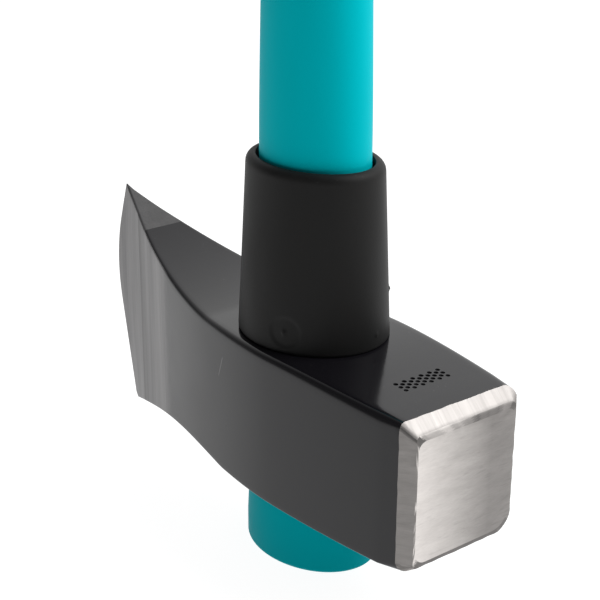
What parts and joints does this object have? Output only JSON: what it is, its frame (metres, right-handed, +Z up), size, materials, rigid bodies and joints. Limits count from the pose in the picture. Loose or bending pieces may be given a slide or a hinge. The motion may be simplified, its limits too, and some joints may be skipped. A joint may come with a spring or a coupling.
{
  "type": "splitting maul",
  "caption": "Splitting maul with a wedge-shaped steel head, ground bit and square poll, moulded oval handle, rubber overstrike sleeve and rubber grip with a hanging hole.",
  "frame": {"origin": "centre of the flat end face of the handle's stub, below the head, on which the maul stands upright", "axes": "+Z up the handle from the head to the grip, +X from the handle to the poll, -X to the cutting edge, the maul is mirror symmetric about the plane y = 0"},
  "size_m": [0.1989, 0.056, 0.9],
  "materials": {
    "head_steel": "satin",
    "bond_resin": "satin",
    "handle_plastic": "satin",
    "core_fibreglass": "matte",
    "sleeve_rubber": "matte",
    "grip_rubber": "matte"
  },
  "bodies": {
    "root": {"head": "head_steel", "eye_bond": "bond_resin", "handle_jacket": "handle_plastic", "core_rod": "core_fibreglass", "overstrike_sleeve": "sleeve_rubber", "grip": "grip_rubber"}
  },
  "joints": []
}
